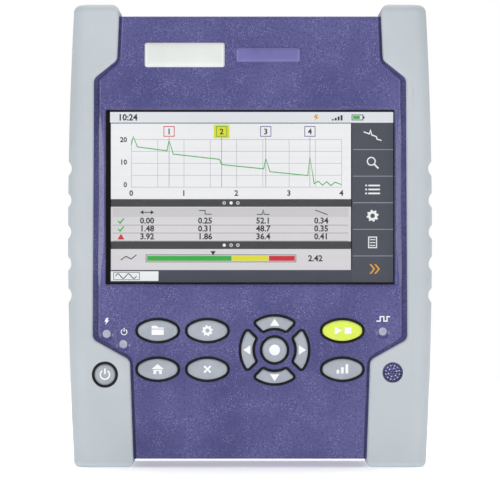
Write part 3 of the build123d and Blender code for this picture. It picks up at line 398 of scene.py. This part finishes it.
# second films: pale lines, tab, header row and highlight
faint, tab, header, lemon = film(2), film(2), film(2), film(2)
tab.box(*at(margin, task_top + 0.5), 18.0, task_height - 1.0)
header.box(*at(1.0, table_top + 0.4), main_width - 2.2, 3.4)
grid_left, grid_right, grid_top, grid_foot = 8.0, main_width - 4.0, graph_top + 6.0, graph_bottom - 4.6
grid_width, grid_height = grid_right - grid_left, grid_foot - grid_top
columns, rows = 8, 4
grid_line = 0.16
for i in range(columns + 1):
    u = grid_left + grid_width * i / columns
    faint.box(*at(u, grid_top), grid_line, grid_height)
for i in range(rows + 1):
    v = grid_top + grid_height * i / rows
    faint.box(*at(grid_left, v), grid_width, grid_line)
menu_cells = 6
cell = (picture_height - status_height) / menu_cells
for i in range(1, menu_cells):
    faint.box(*at(main_width + 0.4, status_height + i * cell), side_menu - 0.4, 0.2)
# third films: dark figures and lines, trace, markers, white signs
black, white, green, red, plum, amber = film(4), film(4), film(4), film(4), film(4), film(4)
black.digits("10:24", *at(3.0, 3.15), 2.4)
for i in range(4):
    black.box(*at(84.0 + i * 1.1, 3.2 - 0.5 * (i + 1)), 0.75, 0.5 * (i + 1))
black.frame(*at(91.5, 0.95), 4.4, 2.2, 0.28)
black.box(*at(95.9, 1.6), 0.45, 0.9)
green.box(*at(92.0, 1.45), 2.6, 1.2)
flash = ((77.6, 1.0), (78.9, 1.0), (78.3, 1.9), (79.2, 1.9), (77.5, 3.3), (77.9, 2.2), (77.2, 2.2))
amber.shape([at(u, v) for u, v in flash])
# falling trace with steps and peaks
track = ((0.0, 0.12), (0.01, -0.05), (0.03, 0.16), (0.17, 0.24), (0.18, 0.02), (0.2, 0.31), (0.42, 0.42),
         (0.43, 0.53), (0.63, 0.62), (0.64, 0.4), (0.66, 0.68), (0.84, 0.76), (0.85, 0.36), (0.87, 0.93),
         (0.89, 0.88), (0.91, 0.96), (0.93, 0.89), (0.95, 0.97), (0.97, 0.9), (1.0, 0.95))
trace_line = 0.38
green.stroke([at(grid_left + grid_width * a, grid_top + grid_height * b) for a, b in track], trace_line)
for i, share in enumerate((0.0, 0.25, 0.5, 0.75, 1.0)):
    black.digits(str(i), *at(grid_left + grid_width * share, grid_foot + 3.3), 2.1, "CENTER")
for i in range(3):
    black.digits(str(20 - 10 * i), *at(6.4, grid_top + 1.0 + (grid_height - 1.0) * i / 2), 1.9, "RIGHT")
marks = ((0.18, red), (0.43, green), (0.64, plum), (0.85, plum))
lemon.box(*at(grid_left + grid_width * marks[1][0] - 3.0, graph_top + 0.4), 6.0, 5.2)
for n, (share, ink) in enumerate(marks):
    u = grid_left + grid_width * share
    ink.frame(*at(u - 2.1, graph_top + 1.0), 4.2, 4.0, 0.3)
    black.digits(str(n + 1), *at(u, graph_top + 4.05), 2.15, "CENTER")
    black.stroke([at(u, graph_top + 5.2), at(u, grid_foot)], 0.14)
# bands: page dots
dot_pitch, dot_radius, dot_hole = 2.6, 0.62, 0.36
for v, lit in ((graph_bottom, 1), (table_bottom, 0)):
    for i in range(3):
        x, z = at(main_width / 2 + (i - 1) * dot_pitch, v + band_height / 2)
        if i == lit:
            white.shape(round_points(dot_radius, 14, x, z))
        else:
            white.band(round_points(dot_radius, 14, x, z), round_points(dot_hole, 14, x, z))
# table: four columns of plain figures under plain signs, each drawn about the middle of its column
places = (14.0, 36.0, 58.0, 80.0)
head_v = table_top + 2.1
sign_line = 0.32
black.stroke([at(places[0] - 2.2, head_v), at(places[0] + 2.2, head_v)], 0.3)
for side in (-1, 1):
    u = places[0] + side * 2.6
    black.shape([at(u, head_v), at(u - side * 1.2, head_v - 0.8), at(u - side * 1.2, head_v + 0.8)])
head_signs = (((-2.4, -0.7), (0.0, -0.7), (0.0, 0.7), (2.4, 0.7)),
              ((-2.4, 0.8), (-0.4, 0.8), (0.0, -1.0), (0.4, 0.8), (2.4, 0.8)),
              ((-2.4, -0.9), (2.4, 0.9)))
for u, sign in zip(places[1:], head_signs):
    black.stroke([at(u + a, head_v + b) for a, b in sign], sign_line)
figures = (("0.00", "0.25", "52.1", "0.34"),
           ("1.48", "0.31", "48.7", "0.35"),
           ("3.92", "1.86", "36.4", "0.41"))
row_height = 3.0
figure_size = 2.25
for n, row in enumerate(figures):
    foot = table_top + 6.3 + n * row_height
    for u, text in zip(places, row):
        black.digits(text, *at(u, foot), figure_size, "CENTER")
    black.stroke([at(1.0, foot + 0.65), at(main_width - 1.4, foot + 0.65)], 0.13)
    if n < 2:
        green.stroke([at(3.0, foot - 0.9), at(3.8, foot - 0.1), at(5.2, foot - 1.9)], 0.5)
    else:
        red.shape([at(4.1, foot - 2.1), at(5.4, foot + 0.1), at(2.8, foot + 0.1)])
# gauge: one bar in three colours with a pointer
gauge_v = gauge_top + 2.6
for ink, start, stop in ((green, 14.0, 46.0), (lemon, 46.2, 60.0), (red, 60.2, 70.0)):
    ink.box(*at(start, gauge_v), stop - start, 1.9)
black.frame(*at(13.5, gauge_v - 0.5), 57.0, 2.9, 0.22)
black.shape([at(39.0, gauge_v - 0.2), at(38.0, gauge_v - 1.8), at(40.0, gauge_v - 1.8)])
black.digits("2.42", *at(75.0, gauge_v + 2.0), 2.3)
slope_sign = ((4.0, 1.6), (6.0, 0.2), (8.0, 1.2), (10.0, -0.4))
black.stroke([at(u, gauge_v + v) for u, v in slope_sign], 0.35)
# tab with a small wave, and the side menu's six plain signs
wave = [(2.0 + 0.5 * i, task_top + task_height / 2 - 0.9 * sin(i * pi / 4)) for i in range(17)]
black.stroke([at(u, v) for u, v in wave], sign_line)
black.frame(*at(1.2, task_top + 0.85), 10.0, task_height - 1.7, 0.2)
menu_x = picture_left + main_width + side_menu / 2
menu_z = [picture_top - status_height - cell * (i + 0.5) for i in range(menu_cells)]
small_trace = [(-3.4, 1.6), (-1.2, 0.8), (-0.8, 2.2), (-0.3, 0.4), (1.4, -0.2), (1.7, -1.2), (3.4, -1.7)]
white.stroke(moved(small_trace, menu_x, menu_z[0]), 0.45)
lens_x, lens_z = menu_x - 0.5, menu_z[1] + 0.5
white.band(round_points(1.7, 24, lens_x, lens_z), round_points(1.25, 24, lens_x, lens_z))
white.stroke([(menu_x + 0.7, menu_z[1] - 0.7), (menu_x + 2.2, menu_z[1] - 2.2)], 0.6)
for i in range(3):
    z = menu_z[2] + 1.7 - i * 1.5
    white.box(menu_x - 2.8, z, 0.7, 0.6)
    white.box(menu_x - 1.6, z, 4.4, 0.6)


gear_teeth = 8
gear_points = 4 * gear_teeth
half_step = 180.0 / gear_points


def gear(tip, root, hole, x, z):
    """Outlines of a plain gear with square teeth, four points to a tooth, and of its hole."""
    rims = [round_points(r, gear_points, x, z, half_step, half_step + 360.0) for r in (tip, root, hole)]
    return [rims[0 if i % 4 < 2 else 1][i] for i in range(gear_points)], rims[2]


white.band(*gear(2.3, 1.75, 0.85, menu_x, menu_z[3]))
white.frame(menu_x - 1.7, menu_z[4] + 2.2, 3.4, 4.4, 0.4)
for i in range(3):
    white.box(menu_x - 1.0, menu_z[4] + 1.2 - i * 1.1, 2.0, 0.35)
for shift in (-1.2, 0.6):
    arrow = [(0, 1.8), (0.7, 1.8), (2.2, 0), (0.7, -1.8), (0, -1.8), (1.5, 0)]
    amber.shape(moved(arrow, menu_x + shift, menu_z[5]))
lamp_level = 1.0
for ink, name, colour in (
    (paper, "display_paper", "f2f2f4"), (status, "display_status", "e4e7eb"),
    (table, "display_table", "dbd8db"), (bands, "display_bands", "3b3b3d"),
    (menu, "display_menu", "464955"), (task, "display_task", "3f4250"),
    (faint, "display_grid", "a9acb6"), (tab, "display_tab", "f0f2f4"),
    (header, "display_header", "cccacd"), (lemon, "display_lemon", "e5e020"),
    (black, "display_black", "1c1d20"), (white, "display_white", "f1f2f5"),
    (green, "display_green", "2fae3e"), (red, "display_red", "cf2230"),
    (plum, "display_plum", "6a5a9c"), (amber, "display_amber", "e8a828"),
):
    fit(ink.mesh, name, lit_cells("lit_cells_" + name, colour, lamp_level), "housing")

# Keys: caps moulded in satin ABS, grey for all but the lime one that starts a measurement. Each
# has a sign pad-printed in white ink, and stands in a collar of the black mat.
satin_abs = {"Roughness": 0.42, "IOR": 1.53}
key_grey = two_tone("satin_grey_abs", "a1a8b2", "aeb5be", 7, 0.35, 0.015, satin_abs)[0]
key_lime = two_tone("satin_lime_abs", "d9ec4e", "e2f55c", 7, 0.35, 0.015, satin_abs)[0]
dress(key_lime, "start_stop_key")
white_ink = two_tone("pad_printed_white_ink", "f4f6f8", "fdfeff", 3, 0.3, 0.01,
                     {"Roughness": 0.5, "IOR": 1.48})[0]
print_thickness = 0.03
print_bite = 0.01             # ink keyed into the skin below it


def printed(y):
    """An empty print on a face that lies at depth y, in mm."""
    return Ink(y + print_bite, y - print_thickness)


def arc_line(radius, line, start, stop, count=25):
    """Outline of an arc of even width."""
    inside = round_points(radius - line / 2, count, start=start, stop=stop)
    return round_points(radius + line / 2, count, start=start, stop=stop) + inside[::-1]


cross_arm, cross_half = 1.75, 0.36
arm = [(cross_half, cross_half), (cross_arm, cross_half), (cross_arm, -cross_half)]
plus = []
for i in range(4):
    plus += arm
    arm = [(z, -x) for x, z in arm]      # the next arm, a quarter turn on
diagonal = cos(pi / 4)
cross = [((x - z) * diagonal, (x + z) * diagonal) for x, z in plus]
standby = [arc_line(1.75, 0.5, 125, 415), [(-0.27, 0.2), (0.27, 0.2), (0.27, 2.4), (-0.27, 2.4)]]
play = [(-2.8, -1.5), (-0.2, 0.0), (-2.8, 1.5)]
block = [(0.9, -1.25), (3.4, -1.25), (3.4, 1.25), (0.9, 1.25)]
key_signs = {
    "file_key": [[(-2.3, 0.75), (2.3, 0.75), (2.3, 1.2), (0.2, 1.2), (-0.4, 1.85), (-2.3, 1.85)],
                 [(-2.3, -1.6), (2.3, -1.6), (2.3, 0.45), (-2.3, 0.45)]],
    "home_key": [[(-2.4, 0.05), (2.4, 0.05), (0.0, 2.0)],
                 [(-1.6, -1.8), (-0.5, -1.8), (-0.5, -0.7), (0.5, -0.7), (0.5, -1.8), (1.6, -1.8),
                  (1.6, -0.2), (-1.6, -0.2)]],
    "cancel_key": [cross],
    "start_stop_key": [play, block],
    "results_key": [[(x, -1.6), (x + 1.0, -1.6), (x + 1.0, top), (x, top)]
                    for x, top in ((-2.2, -0.2), (-0.5, 0.8), (1.2, 1.9))],
    "enter_key": [round_points(2.05, 32)],
    "power_key": standby,
}
arrow_turns = {"right_key": 0, "up_key": 90, "left_key": 180, "down_key": 270}
pad_centre = (9.3, 44.4)
arrow_reach = 10.5            # centre of the pad to the middle of an arrow
arrow_half, arrow_length = 1.8, 2.7
tip, tail = arrow_reach + arrow_length / 2, arrow_reach - arrow_length / 2
for name, turn in arrow_turns.items():
    c, s = cos(radians(turn)), sin(radians(turn))
    arrow = ((tip, 0), (tail, arrow_half), (tail, -arrow_half))
    key_signs[name] = [[(a * c - b * s, a * s + b * c) for a, b in arrow]]
key_signs["setup_key"] = []   # a gear, which has a hole
for name, outlines in key_signs.items():
    if name != "start_stop_key":
        dress(key_grey, name)
    centre, low = middle_of(name)[:2]
    x, z = pad_centre if name in arrow_turns else (centre.x, centre.z)
    sign = printed(low.y)
    for outline in outlines:
        sign.shape(moved(outline, x, z))
    if name == "setup_key":
        sign.band(*gear(2.1, 1.6, 0.8, x, z))
    fit(sign.mesh, name + "_sign", white_ink, name)

# Lamps: three light pipes of milky polycarbonate in small dishes, each with a plain white sign
# printed above it: a bolt for charging, a standby ring for on, and a pulse for testing.
milky = two_tone("milky_polycarbonate", "a9adc2", "b9bccd", 2, 0.3, 0.01,
                 {"Roughness": 0.38, "IOR": 1.58, "Subsurface Weight": 0.2})[0]
milky.node_tree.nodes["Principled BSDF"].inputs["Subsurface Radius"].default_value = (0.001, 0.001, 0.001)
dress(milky, "led_light_pipes")
panel_y = -27.0               # front of the raised panel, in mm
small_sign = 0.62             # of the power key's sign
lamp_signs = printed(panel_y)
bolt = [(-0.15, 1.3), (0.75, 1.3), (0.3, 0.35), (0.95, 0.35),
        (-0.55, -1.3), (-0.15, -0.15), (-0.8, -0.15)]
lamp_signs.shape(moved(bolt, -54.2, 55.2))
for outline in standby:
    lamp_signs.shape(moved([(a * small_sign, b * small_sign) for a, b in outline], -47.6, 51.2))
pulse = [(-2.6, -0.8), (-1.2, -0.8), (-1.2, 0.9), (0.2, 0.9),
         (0.2, -0.8), (1.4, -0.8), (1.4, 0.9), (2.6, 0.9)]
lamp_signs.stroke(moved(pulse, 50.4, 56.1), 0.42)
fit(lamp_signs.mesh, "lamp_signs", white_ink, "housing")

# Boards, switches and small parts behind the front: glass-fibre boards under green solder mask,
# stamped steel switches, moulded chips, a loudspeaker and turned brass standoffs.
green_mask = two_tone("green_solder_mask", "174a2e", "236a42", 3, 0.6, 0.02,
                      {"Roughness": 0.4, "IOR": 1.5})[0]
dress(green_mask, "keypad_board", "main_board")
bright_steel = two_tone("stamped_bright_steel", "aeb2b6", "c4c8cc", 4, 0.25, 0.01,
                        {"Roughness": 0.34, "Metallic": 1.0})[0]
dress(bright_steel, "key_switches", "display_bracket", "usb_socket")
zinc_steel = two_tone("zinc_plated_steel", "9a9ea3", "b4b8bd", 2, 0.2, 0.008,
                      {"Roughness": 0.36, "Metallic": 1.0})[0]
dress(zinc_steel, "keypad_screws", "board_screws", "case_screws", "door_screws", "stand_pins",
      "port_cover_pin")
brass = two_tone("turned_brass", "b89648", "cdb062", 2, 0.2, 0.008,
                 {"Roughness": 0.3, "Metallic": 1.0})[0]
dress(brass, "board_standoffs")
chip_resin = two_tone("cast_chip_resin", "e2dcb4", "efe9c8", 1, 0.2, 0.008,
                      {"Roughness": 0.35, "IOR": 1.5})[0]
dress(chip_resin, "led_chips")
black_pbt = two_tone("moulded_black_pbt", "17181a", "232427", 5, 0.4, 0.02,
                     {"Roughness": 0.5, "IOR": 1.57})[0]
dress(black_pbt, "speaker", "battery_contacts", "battery_pack", "lan_socket", "dc_jack")

# Loudspeaker grille: small raised pips stand on the face between its holes. They are of the
# housing's own ABS; their pale colour is a painted highlight, so they show as light dots on the satin face.
# pale colour of the pips: painted highlight
grille_highlight_abs = two_tone("painted_highlight_abs", "b6b7d1", "c4c5dc", 1.5, 0.3, 0.01,
                      {"Roughness": 0.3, "IOR": 1.53})[0]
pip_rise = 0.1
pip_rings = ((6, 1.58, 0.29), (12, 2.62, 0.27))      # count, ring radius and pip radius, in mm
pip_start = 15.0              # degrees, so that no pip covers a hole
centre = middle_of("speaker")[0]
pips = Ink(panel_y + print_bite, panel_y - pip_rise)
for count, ring_radius, pip_radius in pip_rings:
    for x, z in round_points(ring_radius, count, centre.x, centre.z, pip_start, pip_start + 360.0):
        pips.shape(round_points(pip_radius, 14, x, z))
fit(pips.mesh, "grille_pips", grille_highlight_abs, "housing")

# Contacts in the top sockets: stamped bronze strips with a gold flash, eight in the network socket
# and four on the moulded tongue of the data socket, and a turned pin in the power inlet.
gold_flash = two_tone("gold_flashed_bronze", "c9a544", "dcbc62", 1, 0.2, 0.005,
                      {"Roughness": 0.28, "Metallic": 1.0})[0]
sockets_top = 170.5           # top wall of the housing
contact_bite = 0.05           # keyed into the wall that carries it
wire_count, wire_pitch, wire_width, wire_proud = 8, 1.02, 0.48, 0.17
wire_start, wire_length = 1.6, 9.8
mouth_wall_y = -9.2           # wall of the network socket's mouth, towards the front
centre = middle_of("lan_socket")[0]
wires = Ink(mouth_wall_y + wire_proud, mouth_wall_y - contact_bite)
for i in range(wire_count):
    x = centre.x + (i - (wire_count - 1) / 2) * wire_pitch - wire_width / 2
    wires.box(x, sockets_top - wire_start, wire_width, wire_length)
fit(wires.mesh, "lan_contacts", gold_flash, "housing")
centre = middle_of("usb_socket")[0]
tongue_front, tongue_back = -9.78, -7.92
tongue_half, tongue_length, tongue_bevel, tongue_cap = 5.62, 11.8, 0.4, 0.02
tongue = Ink(tongue_back, tongue_front)
side = [(-tongue_half, -tongue_length), (-tongue_half, -tongue_bevel),
        (tongue_bevel - tongue_half, tongue_cap)]
tongue.shape(moved(side + [(-x, z) for x, z in side[::-1]], centre.x, sockets_top))
fit(tongue.mesh, "usb_tongue", black_pbt, "housing")
strip_width, strip_start, strip_length, strip_proud = 1.0, 0.9, 9.0, 0.06
strips = Ink(tongue_back + strip_proud, tongue_back - contact_bite)
for shift in (-3.5, -1.0, 1.0, 3.5):
    x = centre.x + shift - strip_width / 2
    strips.box(x, sockets_top - strip_start, strip_width, strip_length)
fit(strips.mesh, "usb_contacts", gold_flash, "housing")
centre = middle_of("dc_jack")[0]
pin_profile = ((1.04, 161.05), (1.04, 168.9), (0.82, 169.4), (0.4, 169.56))     # radius and height
pin = bmesh.new()
pin_rings = [[pin.verts.new((a / 1000, b / 1000, height / 1000))
              for a, b in round_points(radius, 24, centre.x, centre.y)] for radius, height in pin_profile]
stitch(pin, pin_rings, smooth=False)
fit(pin, "dc_pin", bright_steel, "housing")

# Optical port: blue adapter, ceramic alignment sleeve, yellow pigtail boot and the cast module
# that holds the laser and the detector.
blue_pbt = two_tone("moulded_blue_pbt", "2a5aa6", "356ab8", 4, 0.35, 0.02,
                    {"Roughness": 0.42, "IOR": 1.57})[0]
dress(blue_pbt, "sc_adapter")
zirconia = two_tone("ground_zirconia", "ece7da", "f5f1e6", 1, 0.2, 0.005,
                    {"Roughness": 0.2, "IOR": 2.1})[0]
dress(zirconia, "ferrule_sleeve")
yellow_tpe = two_tone("yellow_tpe_boot", "d8bf36", "e6d04c", 2, 0.3, 0.02,
                      {"Roughness": 0.55, "IOR": 1.5})[0]
dress(yellow_tpe, "fibre_pigtail")
cast_aluminium = two_tone("cast_aluminium", "b9bdc1", "cfd2d5", 5, 0.5, 0.02,
                          {"Roughness": 0.42, "Metallic": 1.0})[0]
dress(cast_aluminium, "optical_module")

# Studio: a round pale floor that glows a little, like a light table, in a white room. Two soft
# lights stand at the front left and right, a broad one hangs above the part and one stands behind,
# so that the floor stays white as in a catalogue picture.
floor_radius = 1.0
floor_glow = 0.4
floor_mesh = bmesh.new()
rim = [floor_mesh.verts.new((x, y, 0.0)) for x, y in round_points(floor_radius, 96)]
floor_mesh.faces.new(rim)
floor_data = bpy.data.meshes.new("pale_floor")
floor_mesh.to_mesh(floor_data)
floor_mesh.free()
floor_data.materials.append(two_tone("pale_matt_paper", "f4f4f5", "f8f8f8", 60, 1.5, 0.02,
                                     {"Roughness": 0.9, "IOR": 1.4, "Emission Strength": floor_glow})[0])
floor = bpy.data.objects.new("pale_floor", floor_data)
bpy.context.scene.collection.objects.link(floor)

room_light = 0.27             # even glow on the part; the room itself looks white
room = bpy.data.worlds.new("white_room")
bpy.context.scene.world = room
room.use_nodes = True
tree = room.node_tree
ray = node(tree, "LightPath", {}, {})
glow = node(tree, "MapRange", {}, {0: ray.outputs["Is Camera Ray"], 3: room_light, 4: 1.0})
tree.nodes["Background"].inputs["Color"].default_value = (1.0, 1.0, 1.0, 1.0)
tree.links.new(glow.outputs[0], tree.nodes["Background"].inputs["Strength"])

part_centre = Vector((0.0, 0.0, 0.0875))
for name, place, size, watts in (("key_light", (1.1, -1.26, 0.2), 0.9, 8.8),
                                 ("fill_light", (-1.15, -1.22, 0.2), 0.65, 7.4),
                                 ("floor_light", (0.0, 0.4, 1.6), 1.6, 22.0),
                                 ("back_light", (0.0, 1.5, 0.8), 1.2, 7.0)):
    lamp = bpy.data.lights.new(name, "AREA")
    lamp.size = size
    lamp.energy = watts
    holder = bpy.data.objects.new(name, lamp)
    holder.location = place
    holder.rotation_euler = (part_centre - holder.location).to_track_quat("-Z", "Y").to_euler()
    holder.visible_camera = False
    bpy.context.scene.collection.objects.link(holder)

# Camera: level and square to the front, with a long lens, framed as in the picture to match.
field_mm = 189.0              # width that the picture spans at the front panel
stand_off = 1.6               # lens to the front panel, in metres
camera_data = bpy.data.cameras.new("camera")
camera_data.sensor_width = 36.0
camera_data.lens = camera_data.sensor_width * stand_off / (field_mm / 1000)
camera_data.clip_end = 50.0
camera = bpy.data.objects.new("camera", camera_data)
camera.location = (0.0, panel_y / 1000 - stand_off, 0.08217)
camera.rotation_euler = (pi / 2, 0.0, 0.0)
bpy.context.scene.collection.objects.link(camera)
bpy.context.scene.camera = camera
bpy.context.scene.view_settings.view_transform = "Standard"
